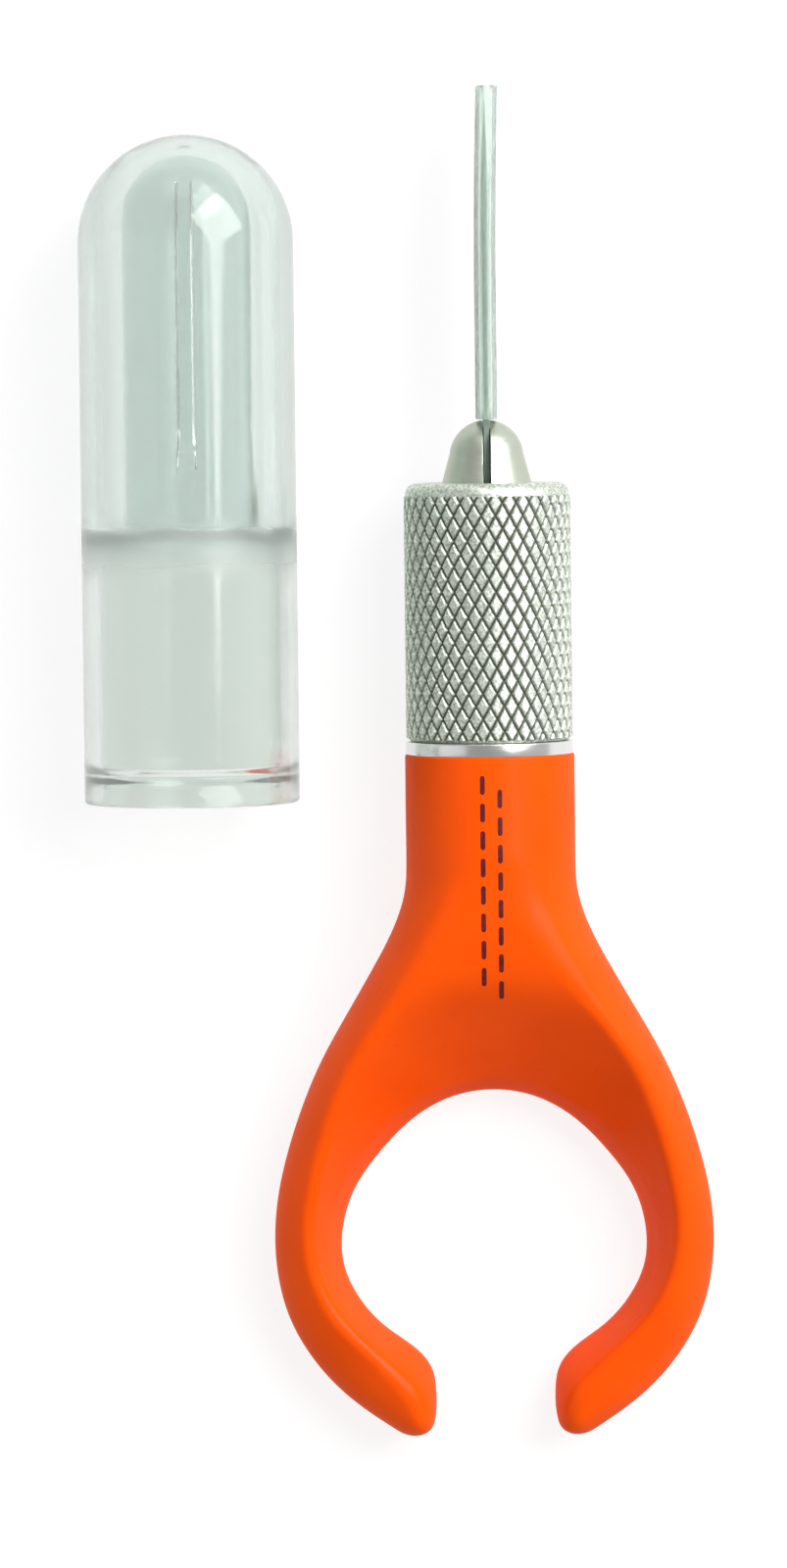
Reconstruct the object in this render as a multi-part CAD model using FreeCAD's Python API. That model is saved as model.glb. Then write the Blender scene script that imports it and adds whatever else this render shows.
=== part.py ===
import FreeCAD, Part

import math
import os

# Seam ripper with a finger loop, lying on its back beside its clear cap. Millimetres.
# Row frame: +X across the loop, +Y along the tool towards the blade's point, +Z up from the table.
# Every tool piece is drawn about the tool's own axis: x across, y along it from the front face of the
# neck (y = 0), z up. place() then sets it on the table.

V = FreeCAD.Vector
Y_AXIS = V(0, 1, 0)
Z_AXIS = V(0, 0, 1)

# ---- driving dimensions ----
NECK_R = 6.1                      # round neck of the handle, and the axis height above the table
LOOP_HALF_WIDTH = 15.9            # widest half width of the finger loop
HANDLE_LENGTH = 49.7              # neck's front face to the ends of the loop's arms
SLEEVE_TOP_Y = 47.9               # open end of the blade sleeve

TRIM_R = 6.03                     # polished ring
TRIM_T = 0.95
TRIM_CHAMFER = 0.08
COLLAR_R = 6.0                    # over the knurl's crests
COLLAR_FRONT_Y = 19.5
COLLAR_REAR_GAP = 0.05
COLLAR_NOSE_ROUND = 1.1
COLLAR_REAR_CHAMFER = 0.3

THREAD_R = 4.45                   # M9 x 0.75 male thread, drawn plain at its crests
RUNNING_GAP = 0.05                # radial gap of every running fit
STUD_FRONT_Y = 12.4
STUD_TAIL_R = 3.6
STUD_TAIL_Y = -12.5
STUD_BORE_R = 2.9
STUD_BORE_END_Y = -10.5
STUD_GROOVES_Y = (-10.1, -4.1)    # two grooves that key the tail into the core
STUD_GROOVE_DEPTH = 0.45
STUD_GROOVE_WIDTH = 1.1
THREAD_START_Y = -1.0
THREAD_LEAD_IN = (0.35, 0.4)      # chamfer on the thread's first turn: radius, length
SEAT_DEPTH = 1.9                  # conical seat for the collet in the stud's mouth
SEAT_FLARE = 1.1
SEAT_GAP = 0.1                    # collet to seat, along the axis
FLANGE_T = 0.4                    # rim of the collet's flange in front of the seat

NOSE_Y = 24.0                     # apex of the collet's dome
NOSE_R = 3.22                     # collet radius where it leaves the collar
JAW_TAPER = 0.27                  # radius lost per mm of length on the jaws' cone
JAW_HEAD_Y = 15.5                 # back of the jaws' cone
JAW_DOME_Y = 21.35                # where the cone turns into the dome
JAW_DOME_MID = (1.95, 23.25)      # a point half way round the dome: radius, y
JAW_CONE_GAP = 0.08               # collar cone to jaw cone, along the radius
SHANK_REAR_Y = -9.0
JAW_SLOT = 0.56                   # slot that takes the blade
JAW_SLOT_END_Y = 1.0
JAW_RELIEF_R = 0.6                # hole that ends the slot
KEY_R = 0.5                       # cross dowel
KEY_Y = -6.5
KEY_SLOT_END_Y = -4.5
KEY_END_GAP = 0.1

BLADE_T = 0.5
BLADE_STEM_HALF = 1.7
BLADE_ROOT_Y = 5.0
FORK_START_Y = 31.0               # the stem starts to widen into the fork; fork places are y, z
LONG_PRONG_BACK = (39.6, 2.05)
POINT = (46.9, 0.95)
POINT_INNER = (46.8, 0.75)
CROTCH = [(38.6, 0.35), (37.0, -0.45), (38.4, -1.2)]
SHORT_PRONG_NOSE = [(41.0, -1.55), (41.55, -1.95), (41.0, -2.35)]
SHORT_PRONG_BACK = [(36.0, -2.3), (33.4, -2.12)]
FORK_REACH = 2.5                  # half width that clears the whole fork
POINT_GRIND_Y = 42.7              # thickness starts to taper here
POINT_T = 0.08                    # thickness left at the point
CROTCH_GRIND = 0.16               # sharpening bevel round the crotch

SLEEVE_T = 1.55                   # clear sleeve, across the blade's thickness
SLEEVE_W = 5.8                    # and across its width
SLEEVE_BORE_T = 0.75
SLEEVE_BORE_W = 5.0
SLEEVE_FOOT_Y = 24.05

CAP_R = 7.72
CAP_MOUTH_Y = -3.2
CAP_APEX_Y = 44.7
CAP_MOUTH_BORE_R = 6.5
CAP_STEP_Y = 14.6                 # the wide bore starts to close here
CAP_GUIDE_BORE_R = 4.55
CAP_GUIDE_TOP_Y = 42.7
CAP_BEAD_R = 6.15                 # inner bead that grips the collar
CAP_BEAD_Y = -1.1
CAP_BEAD_WIDTH = 1.2
CAP_MOUTH_ROUND = 0.35
CAP_MOUTH_EDGE = 0.2              # chamfer outside the mouth
CAP_RIB_W = 1.15
CAP_RIB_H = 0.9
CAP_RIB_Y = (20.8, 40.0)
CAP_RIB_ROOT = 0.6                # how far a rib's root reaches into the wall
GATE_R = 0.7                      # moulding gate at the cap's apex
GATE_DEPTH = 0.12
CAP_TO_TOOL = 21.4                # cap axis to tool axis

CUT_MARGIN = 1.0                  # how far a cutter runs past the surface that it opens

# ---- the row frame: origin on the table, under the middle of the whole group ----
X_LEFT = -(CAP_TO_TOOL + CAP_R)
X_MIDDLE = (X_LEFT + LOOP_HALF_WIDTH) / 2
Y_MIDDLE = (SLEEVE_TOP_Y - HANDLE_LENGTH) / 2
TOOL_AXIS = V(-X_MIDDLE, -Y_MIDDLE, NECK_R)
CAP_AXIS = V(-X_MIDDLE - CAP_TO_TOOL, -Y_MIDDLE, CAP_R)

# Handle sections along the axis: y, half width, underside, upper side, and the squareness of the upper
# and the lower half (2 is an ellipse). The underside stays on the table and flattens round the loop,
# where the upper side falls away.
HANDLE_SECTIONS = [
    (0.0, NECK_R, -NECK_R, 6.1, 2.0, 2.0),
    (-3.0, NECK_R, -NECK_R, 6.1, 2.0, 2.0),
    (-6.0, NECK_R, -NECK_R, 6.1, 2.0, 2.0),
    (-8.6, NECK_R, -NECK_R, 6.1, 2.0, 2.0),
    (-10.6, 6.42, -NECK_R, 6.05, 2.0, 2.1),
    (-14.0, 7.8, -NECK_R, 5.8, 2.05, 2.4),
    (-18.8, 10.5, -NECK_R, 4.9, 2.15, 3.0),
    (-23.9, 13.2, -NECK_R, 3.7, 2.3, 3.8),
    (-29.5, 15.1, -NECK_R, 2.5, 2.4, 4.5),
    (-35.0, LOOP_HALF_WIDTH, -NECK_R, 1.6, 2.5, 5.0),
    (-40.0, 15.2, -NECK_R, 1.0, 2.5, 5.0),
    (-44.3, 13.3, -NECK_R, 0.7, 2.4, 4.5),
    (-47.4, 10.3, -5.9, 0.3, 2.3, 3.5),
    (-HANDLE_LENGTH, 7.0, -5.3, -0.4, 2.2, 2.6),
]
SECTION_POINTS = 32

# Finger opening, right half, from the neck's side round to the narrowest place between the arms: x, y.
OPENING_HALF = [
    (0.0, -24.6),
    (5.7, -26.55),
    (9.0, -29.95),
    (11.08, -35.8),
    (10.0, -39.4),
    (7.8, -41.95),
    (5.6, -43.7),
    (4.55, -45.2),
    (4.34, -46.3),
]
ARM_END_MIDDLE = (4.85, -48.55)   # the arm's blunt end rounds from there through this point
ARM_END = (6.5, -49.8)

# Finger pad: a fingertip-sized cone that leans back over the neck from the middle of the loop.
PAD_FOOT_R = 10.6
PAD_HEAD_R = 16.6
PAD_LENGTH = 40.0
PAD_LEAN = 41.5                   # degrees from upright
PAD_FOOT_Y = -38.35
PAD_FOOT_Z = 0.4

# Rigid core inside the grip.
CORE_R = 4.9
CORE_STEM_Y = -14.5
CORE_LOOP_CENTRE_Y = -35.8
CORE_LOOP_RADII = (12.8, 14.2)
CORE_LOOP_Z = (-4.6, -2.6)
CORE_LOOP_HALF_ANGLE = 130.0
CORE_WEB_HALF = 4.2
CORE_WEB_START_Y = -13.5
CORE_WEB_START_Z = (-4.0, 2.4)
CORE_WEB_END_Y = -22.6


def turned(points, arcs=None):
    """Solid of revolution about the Y axis through (radius, y) points.

    arcs maps the number of a point to the middle of the arc that starts there.
    """
    arcs = arcs or {}
    corners = [V(r, y, 0) for r, y in points]
    edges = []
    for i, start in enumerate(corners):
        end = corners[(i + 1) % len(corners)]
        if i in arcs:
            edges.append(Part.Arc(start, V(arcs[i][0], arcs[i][1], 0), end).toShape())
        else:
            edges.append(Part.LineSegment(start, end).toShape())
    face = Part.Face(Part.Wire(edges))
    return face.revolve(V(0, 0, 0), Y_AXIS, 360)


def rod(radius, y_from, y_to):
    """Cylinder along the axis."""
    return Part.makeCylinder(radius, y_to - y_from, V(0, y_from, 0), Y_AXIS)


def block(half_x, y_from, y_to, z_from, z_to):
    """Box centred across the axis."""
    corner = V(-half_x, y_from, z_from)
    return Part.makeBox(2 * half_x, y_to - y_from, z_to - z_from, corner)


def round_middle(centre_r, centre_y, radius):
    """Middle of the quarter round that faces outwards and forwards: radius, y."""
    reach = radius * math.sqrt(0.5)
    return (centre_r + reach, centre_y + reach)


def place(shape, axis_point):
    moved = shape.copy()
    moved.translate(axis_point)
    return moved


# ---- handle ----
def handle_section(y, half_width, z_low, z_high, upper_squareness, lower_squareness):
    """Closed section of the handle, square to the axis: a superellipse with its own upper and lower half."""
    z_mid = (z_low + z_high) / 2
    z_half = (z_high - z_low) / 2
    points = []
    for i in range(SECTION_POINTS):
        a = 2 * math.pi * i / SECTION_POINTS
        c = math.cos(a)
        s = math.sin(a)
        power = 2 / (upper_squareness if s > 0 else lower_squareness)
        x = math.copysign(abs(c) ** power, c) * half_width
        z = z_mid + math.copysign(abs(s) ** power, s) * z_half
        points.append(V(x, y, z))
    curve = Part.BSplineCurve()
    curve.interpolate(Points=points, PeriodicFlag=True)
    return Part.Wire(curve.toShape())


def finger_opening():
    """The C-shaped loop's opening with its mouth and the arms' blunt ends, as an upright cutter."""
    base = -NECK_R - CUT_MARGIN
    below = -HANDLE_LENGTH - CUT_MARGIN
    right = [V(x, y, base) for x, y in OPENING_HALF]
    left = [V(-p.x, p.y, p.z) for p in reversed(right[1:])]
    curve = Part.BSplineCurve()
    curve.interpolate(Points=left + right)
    edges = [curve.toShape()]
    corners = []
    for side in (1, -1):
        narrow = V(side * OPENING_HALF[-1][0], OPENING_HALF[-1][1], base)
        middle = V(side * ARM_END_MIDDLE[0], ARM_END_MIDDLE[1], base)
        end = V(side * ARM_END[0], ARM_END[1], base)
        corner = V(side * ARM_END[0], below, base)
        edges.append(Part.Arc(narrow, middle, end).toShape())
        edges.append(Part.LineSegment(end, corner).toShape())
        corners.append(corner)
    edges.append(Part.LineSegment(corners[0], corners[1]).toShape())
    face = Part.Face(Part.Wire(Part.__sortEdges__(edges)))
    return face.extrude(V(0, 0, -2 * base))


def finger_pad():
    """Cutter for the dished pad, which slopes from the neck's upper side down to the opening."""
    lean = math.radians(PAD_LEAN)
    along = V(0, math.sin(lean), math.cos(lean))
    return Part.makeCone(PAD_FOOT_R, PAD_HEAD_R, PAD_LENGTH, V(0, PAD_FOOT_Y, PAD_FOOT_Z), along)


def handle_core(stud):
    """Rigid insert: a stem round the stud, a web and the spine of the loop."""
    stem = rod(CORE_R, CORE_STEM_Y, 0)
    web_profile = [
        V(-CORE_WEB_HALF, CORE_WEB_START_Y, CORE_WEB_START_Z[0]),
        V(-CORE_WEB_HALF, CORE_WEB_START_Y, CORE_WEB_START_Z[1]),
        V(-CORE_WEB_HALF, CORE_WEB_END_Y, CORE_LOOP_Z[1]),
        V(-CORE_WEB_HALF, CORE_WEB_END_Y, CORE_LOOP_Z[0]),
    ]
    web_face = Part.Face(Part.makePolygon(web_profile + web_profile[:1]))
    web = web_face.extrude(V(2 * CORE_WEB_HALF, 0, 0))
    inner, outer = CORE_LOOP_RADII
    z_low, z_high = CORE_LOOP_Z
    section = [
        V(inner, CORE_LOOP_CENTRE_Y, z_low),
        V(outer, CORE_LOOP_CENTRE_Y, z_low),
        V(outer, CORE_LOOP_CENTRE_Y, z_high),
        V(inner, CORE_LOOP_CENTRE_Y, z_high),
    ]
    spine_face = Part.Face(Part.makePolygon(section + section[:1]))
    centre = V(0, CORE_LOOP_CENTRE_Y, 0)
    spine_face.rotate(centre, Z_AXIS, 90 - CORE_LOOP_HALF_ANGLE)
    spine = spine_face.revolve(centre, Z_AXIS, 2 * CORE_LOOP_HALF_ANGLE)
    whole = stem.fuse([web, spine]).removeSplitter()
    return whole.cut(stud)


def handle_grip(core_space):
    """Moulded outer grip: neck, flare, pad and open loop, hollow where the core sits."""
    hull = Part.makeLoft([handle_section(*s) for s in HANDLE_SECTIONS], True, False)
    grip = hull.cut(finger_opening())
    grip = grip.cut(finger_pad())
    return grip.cut(core_space)


# ---- metal parts ----
def stud_outline():
    """Outside of the moulded-in stud: grooved tail, then the male thread."""
    groove_r = STUD_TAIL_R - STUD_GROOVE_DEPTH
    lead_in_r, lead_in_length = THREAD_LEAD_IN
    points = [(0, STUD_TAIL_Y), (STUD_TAIL_R, STUD_TAIL_Y)]
    for start in STUD_GROOVES_Y:
        points.append((STUD_TAIL_R, start))
        points.append((groove_r, start))
        points.append((groove_r, start + STUD_GROOVE_WIDTH))
        points.append((STUD_TAIL_R, start + STUD_GROOVE_WIDTH))
    points.append((STUD_TAIL_R, THREAD_START_Y))
    points.append((THREAD_R, THREAD_START_Y))
    points.append((THREAD_R, STUD_FRONT_Y - lead_in_length))
    points.append((THREAD_R - lead_in_r, STUD_FRONT_Y))
    points.append((0, STUD_FRONT_Y))
    return turned(points)


def threaded_ferrule():
    """Stud bored for the collet's shank, with the conical seat in its mouth and the key's cross hole."""
    bore = rod(STUD_BORE_R, STUD_BORE_END_Y, STUD_FRONT_Y + CUT_MARGIN)
    seat = turned([
        (0, STUD_FRONT_Y - SEAT_DEPTH),
        (STUD_BORE_R, STUD_FRONT_Y - SEAT_DEPTH),
        (STUD_BORE_R + SEAT_FLARE, STUD_FRONT_Y),
        (0, STUD_FRONT_Y),
    ])
    key_hole = Part.makeCylinder(KEY_R, 2 * STUD_TAIL_R, V(0, KEY_Y, -STUD_TAIL_R), Z_AXIS)
    return stud_outline().cut(bore).cut(seat).cut(key_hole)


def key_pin():
    """Cross dowel that keeps the collet from turning."""
    half = STUD_TAIL_R - KEY_END_GAP
    return Part.makeCylinder(KEY_R, 2 * half, V(0, KEY_Y, -half), Z_AXIS)


def trim_ring():
    """Polished ring between the neck and the collar."""
    ring = rod(TRIM_R, 0, TRIM_T).cut(rod(THREAD_R, -CUT_MARGIN, TRIM_T + CUT_MARGIN))
    flat_edges = [e for e in ring.Edges if e.BoundBox.YLength < TRIM_CHAMFER]
    rim_edges = [e for e in flat_edges if e.BoundBox.XMax > TRIM_R - TRIM_CHAMFER]
    return ring.makeChamfer(TRIM_CHAMFER, rim_edges)


def jaw_cone_radius(y):
    """Radius of the collet's jaws on their cone."""
    return NOSE_R - JAW_TAPER * (y - COLLAR_FRONT_Y)


def collet():
    """Split collet: domed nose and jaw cone in the collar, shank in the stud, cross slot for the key."""
    shank_r = STUD_BORE_R - RUNNING_GAP
    flange_r = shank_r + SEAT_FLARE
    flange_front_y = STUD_FRONT_Y + FLANGE_T
    dome_start = (jaw_cone_radius(JAW_DOME_Y), JAW_DOME_Y)
    points = [
        (0, SHANK_REAR_Y),
        (shank_r, SHANK_REAR_Y),
        (shank_r, STUD_FRONT_Y - SEAT_DEPTH + SEAT_GAP),
        (flange_r, STUD_FRONT_Y + SEAT_GAP),
        (flange_r, flange_front_y),
        (jaw_cone_radius(JAW_HEAD_Y), flange_front_y + FLANGE_T),
        (jaw_cone_radius(JAW_HEAD_Y), JAW_HEAD_Y),
        dome_start,
        (0, NOSE_Y),
    ]
    body = turned(points, {7: JAW_DOME_MID})
    jaw_slot = block(JAW_SLOT / 2, JAW_SLOT_END_Y, NOSE_Y + CUT_MARGIN, -COLLAR_R, COLLAR_R)
    relief = Part.makeCylinder(JAW_RELIEF_R, 2 * COLLAR_R, V(0, JAW_SLOT_END_Y, -COLLAR_R), Z_AXIS)
    key_slot_half = KEY_R + RUNNING_GAP
    key_slot = block(key_slot_half, SHANK_REAR_Y - CUT_MARGIN, KEY_SLOT_END_Y, -COLLAR_R, COLLAR_R)
    return body.cut(jaw_slot.fuse(relief)).cut(key_slot)


def knurled_collar():
    """Clamping nut: plain outside at the knurl's crests, threaded bore, front cone on the jaws."""
    rear = TRIM_T + COLLAR_REAR_GAP
    front = COLLAR_FRONT_Y
    bore_r = THREAD_R + RUNNING_GAP
    cone_rear_r = jaw_cone_radius(JAW_HEAD_Y) + JAW_CONE_GAP
    cone_front_r = NOSE_R + JAW_CONE_GAP
    corner = round_middle(COLLAR_R - COLLAR_NOSE_ROUND, front - COLLAR_NOSE_ROUND, COLLAR_NOSE_ROUND)
    points = [
        (bore_r, rear),
        (COLLAR_R - COLLAR_REAR_CHAMFER, rear),
        (COLLAR_R, rear + COLLAR_REAR_CHAMFER),
        (COLLAR_R, front - COLLAR_NOSE_ROUND),
        (COLLAR_R - COLLAR_NOSE_ROUND, front),
        (cone_front_r, front),
        (cone_rear_r, JAW_HEAD_Y),
        (bore_r, JAW_HEAD_Y),
    ]
    return turned(points, {3: corner})


# ---- blade, sleeve and cap ----
def blade_outline():
    """Fork in the plane of the blade: long pointed prong, short blunt prong, round crotch between."""
    stem = BLADE_STEM_HALF
    root_low, root_high = V(0, BLADE_ROOT_Y, -stem), V(0, BLADE_ROOT_Y, stem)
    fork_low, fork_high = V(0, FORK_START_Y, -stem), V(0, FORK_START_Y, stem)
    point, point_inner, back = [V(0, y, z) for y, z in (POINT, POINT_INNER, LONG_PRONG_BACK)]
    crotch = [V(0, y, z) for y, z in CROTCH]
    nose = [V(0, y, z) for y, z in SHORT_PRONG_NOSE]
    swell = [V(0, y, z) for y, z in SHORT_PRONG_BACK]
    edges = [
        Part.LineSegment(root_low, root_high),
        Part.LineSegment(root_high, fork_high),
        Part.Arc(fork_high, back, point),
        Part.LineSegment(point, point_inner),
        Part.LineSegment(point_inner, crotch[0]),
        Part.Arc(*crotch),
        Part.LineSegment(crotch[2], nose[0]),
        Part.Arc(*nose),
        Part.LineSegment(nose[2], swell[0]),
        Part.Arc(swell[0], swell[1], fork_low),
        Part.LineSegment(fork_low, root_low),
    ]
    return Part.Wire([e.toShape() for e in edges])


def blade():
    """Fork cut from strip, ground thin towards its point and sharpened in the crotch."""
    sheet = Part.Face(blade_outline())
    sheet.translate(V(-BLADE_T / 2, 0, 0))
    strip = sheet.extrude(V(BLADE_T, 0, 0))
    for side in (1, -1):
        grind_start = V(side * BLADE_T / 2, POINT_GRIND_Y, -FORK_REACH)
        grind_end = V(side * POINT_T / 2, POINT[0], -FORK_REACH)
        outside = V(side * BLADE_T, POINT[0], -FORK_REACH)
        grind = Part.Face(Part.makePolygon([grind_start, grind_end, outside, grind_start]))
        strip = strip.cut(grind.extrude(V(0, 0, 2 * FORK_REACH)))
    crotch_from, crotch_to = CROTCH[1][0], CROTCH[0][0]
    crotch_edges = [
        e for e in strip.Edges
        if e.BoundBox.XLength < RUNNING_GAP
        and abs(e.BoundBox.YMin - crotch_from) < RUNNING_GAP
        and e.BoundBox.YMax < crotch_to + RUNNING_GAP
    ]
    return strip.makeChamfer(CROTCH_GRIND, crotch_edges)


def flat_tube_outline(thickness, width, y):
    """Slot-shaped section: two straight sides and two half-round ends."""
    r = thickness / 2
    z = width / 2 - r
    edges = [
        Part.LineSegment(V(r, y, -z), V(r, y, z)),
        Part.Arc(V(r, y, z), V(0, y, z + r), V(-r, y, z)),
        Part.LineSegment(V(-r, y, z), V(-r, y, -z)),
        Part.Arc(V(-r, y, -z), V(0, y, -z - r), V(r, y, -z)),
    ]
    return Part.Face(Part.Wire([e.toShape() for e in edges]))


def blade_sleeve():
    """Clear flattened tube over the blade, open at both ends."""
    length = V(0, SLEEVE_TOP_Y - SLEEVE_FOOT_Y, 0)
    outside = flat_tube_outline(SLEEVE_T, SLEEVE_W, SLEEVE_FOOT_Y).extrude(length)
    inside = flat_tube_outline(SLEEVE_BORE_T, SLEEVE_BORE_W, SLEEVE_FOOT_Y).extrude(length)
    return outside.cut(inside)


def cap():
    """Clear domed cap: wide mouth bore with a grip bead, rounded step, guide bore with two ribs."""
    dome_y = CAP_APEX_Y - CAP_R
    outline = [
        (0, CAP_MOUTH_Y),
        (CAP_R - CAP_MOUTH_EDGE, CAP_MOUTH_Y),
        (CAP_R, CAP_MOUTH_Y + CAP_MOUTH_EDGE),
        (CAP_R, dome_y),
        (0, CAP_APEX_Y),
    ]
    outside = turned(outline, {3: round_middle(0, dome_y, CAP_R)})
    step_r = CAP_MOUTH_BORE_R - CAP_GUIDE_BORE_R
    guide_dome_y = CAP_GUIDE_TOP_Y - CAP_GUIDE_BORE_R
    bore_points = [
        (0, CAP_MOUTH_Y),
        (CAP_MOUTH_BORE_R + CAP_MOUTH_ROUND, CAP_MOUTH_Y),
        (CAP_MOUTH_BORE_R, CAP_MOUTH_Y + CAP_MOUTH_ROUND),
        (CAP_MOUTH_BORE_R, CAP_BEAD_Y - CAP_BEAD_WIDTH / 2),
        (CAP_MOUTH_BORE_R, CAP_BEAD_Y + CAP_BEAD_WIDTH / 2),
        (CAP_MOUTH_BORE_R, CAP_STEP_Y),
        (CAP_GUIDE_BORE_R, CAP_STEP_Y + step_r),
        (CAP_GUIDE_BORE_R, guide_dome_y),
        (0, CAP_GUIDE_TOP_Y),
    ]
    bore_arcs = {
        3: (CAP_BEAD_R, CAP_BEAD_Y),
        5: round_middle(CAP_GUIDE_BORE_R, CAP_STEP_Y, step_r),
        7: round_middle(0, guide_dome_y, CAP_GUIDE_BORE_R),
    }
    shell = outside.cut(turned(bore_points, bore_arcs))
    rib_foot, rib_head = CAP_RIB_Y
    crest = CAP_GUIDE_BORE_R - CAP_RIB_H
    root = CAP_GUIDE_BORE_R + CAP_RIB_ROOT
    upper_rib = block(CAP_RIB_W / 2, rib_foot, rib_head, crest, root)
    lower_rib = block(CAP_RIB_W / 2, rib_foot, rib_head, -root, -crest)
    shell = shell.fuse([upper_rib, lower_rib]).removeSplitter()
    return shell.cut(rod(GATE_R, CAP_APEX_Y - GATE_DEPTH, CAP_APEX_Y + CUT_MARGIN))


def build():
    """Every node's solid, in the row frame."""
    stud = stud_outline()
    core = handle_core(stud)
    tool = {
        "handle_grip": handle_grip(core.fuse(stud)),
        "handle_core": core,
        "threaded_ferrule": threaded_ferrule(),
        "trim_ring": trim_ring(),
        "key_pin": key_pin(),
        "collet": collet(),
        "knurled_collar": knurled_collar(),
        "blade": blade(),
        "blade_sleeve": blade_sleeve(),
    }
    nodes = {name: place(shape, TOOL_AXIS) for name, shape in tool.items()}
    nodes["cap"] = place(cap(), CAP_AXIS)
    return nodes


def main():
    os.makedirs("parts", exist_ok=True)
    for name, shape in build().items():
        shape.exportStep("parts/" + name + ".step")
        box = shape.BoundBox
        spans = (box.XMin, box.XMax, box.YMin, box.YMax, box.ZMin, box.ZMax)
        facts = [len(shape.Solids), shape.isValid(), round(shape.Volume, 2)] + [round(v, 2) for v in spans]
        print(name, *facts)


main()
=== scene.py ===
import math

import bmesh
import bpy
import numpy as np
from mathutils import Matrix, Vector


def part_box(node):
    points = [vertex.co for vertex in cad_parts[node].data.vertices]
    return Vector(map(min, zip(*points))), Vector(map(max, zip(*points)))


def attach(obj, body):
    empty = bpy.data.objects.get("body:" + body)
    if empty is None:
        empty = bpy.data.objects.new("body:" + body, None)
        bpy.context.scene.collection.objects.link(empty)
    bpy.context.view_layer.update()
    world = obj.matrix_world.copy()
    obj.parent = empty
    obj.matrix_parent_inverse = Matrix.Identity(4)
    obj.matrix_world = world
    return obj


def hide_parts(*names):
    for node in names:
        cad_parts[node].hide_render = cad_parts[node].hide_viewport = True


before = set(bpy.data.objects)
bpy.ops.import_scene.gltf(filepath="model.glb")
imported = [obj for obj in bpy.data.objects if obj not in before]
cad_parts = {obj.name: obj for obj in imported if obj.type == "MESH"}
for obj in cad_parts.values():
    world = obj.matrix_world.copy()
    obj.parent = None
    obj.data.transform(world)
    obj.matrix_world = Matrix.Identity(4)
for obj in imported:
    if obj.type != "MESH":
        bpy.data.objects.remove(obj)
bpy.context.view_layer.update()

# Shapes are drawn in millimetres about the tool's axis (or the cap's): x across, y along the axis
# from the front face of the handle's neck, z up. in_frame() brings them into the shared frame, in metres.
MM = 0.001
TAU = 2 * math.pi


def axis_of(node):
    """Point where a round node's axis crosses the plane of the neck's front face."""
    low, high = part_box(node)
    neck_face_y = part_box("trim_ring")[0].y
    return Vector(((low.x + high.x) / 2, neck_face_y, (low.z + high.z) / 2))


TOOL = axis_of("knurled_collar")
CAP = axis_of("cap")


def along(node, origin=TOOL):
    """A node's lowest and highest place along the axis, in millimetres from the neck's front face."""
    low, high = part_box(node)
    return (low.y - origin.y) / MM, (high.y - origin.y) / MM


def radius_of(node):
    low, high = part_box(node)
    return (high.x - low.x) / 2 / MM


def in_frame(points, origin=TOOL):
    return np.asarray(points, float) * MM + np.array(origin)


# ---- mesh helpers
def link_mesh(name, points, faces):
    mesh = bpy.data.meshes.new(name)
    mesh.from_pydata(points, [], faces)
    mesh.update()
    obj = bpy.data.objects.new(name, mesh)
    bpy.context.scene.collection.objects.link(obj)
    return obj


def new_object(name, points, faces, origin=TOOL):
    return link_mesh(name, in_frame(points, origin).tolist(), faces)


def finish_mesh(obj, sharp_degrees=None, material=None):
    """Outward normals, smooth shading with creases over an angle, and the piece's material."""
    bm = bmesh.new()
    bm.from_mesh(obj.data)
    bmesh.ops.remove_doubles(bm, verts=bm.verts, dist=1e-8)
    bmesh.ops.recalc_face_normals(bm, faces=bm.faces)
    bm.to_mesh(obj.data)
    bm.free()
    obj.data.shade_smooth()
    if sharp_degrees is not None:
        obj.data.set_sharp_from_angle(angle=math.radians(sharp_degrees))
    if material is not None:
        obj.data.materials.clear()
        obj.data.materials.append(material)
    return obj


def rounded(corners, steps=6):
    """Outline through (radius, y, fillet) corners, with each fillet drawn as an arc."""
    outline = []
    count = len(corners)
    for i, (r, y, fillet) in enumerate(corners):
        here = np.array([r, y])
        if fillet <= 0 or i in (0, count - 1):
            outline.append((r, y))
            continue
        back = np.array(corners[i - 1][:2]) - here
        ahead = np.array(corners[i + 1][:2]) - here
        back /= np.linalg.norm(back)
        ahead /= np.linalg.norm(ahead)
        half = math.acos(np.clip(back @ ahead, -1, 1)) / 2
        start = here + back * fillet / math.tan(half)
        end = here + ahead * fillet / math.tan(half)
        centre = here + (back + ahead) / np.linalg.norm(back + ahead) * fillet / math.sin(half)
        a0 = math.atan2(*(start - centre)[::-1])
        a1 = math.atan2(*(end - centre)[::-1])
        sweep = (a1 - a0 + math.pi) % TAU - math.pi
        for k in range(steps + 1):
            a = a0 + sweep * k / steps
            outline.append((centre[0] + fillet * math.cos(a), centre[1] + fillet * math.sin(a)))
    return outline


def arc(centre_r, centre_y, radius, from_degrees, to_degrees, steps):
    """Points of an arc in the (radius, y) plane."""
    turns = np.radians(np.linspace(from_degrees, to_degrees, steps + 1))
    return [(centre_r + radius * math.cos(a), centre_y + radius * math.sin(a)) for a in turns]


def even_angles(count):
    return [TAU * i / count for i in range(count)]


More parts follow.
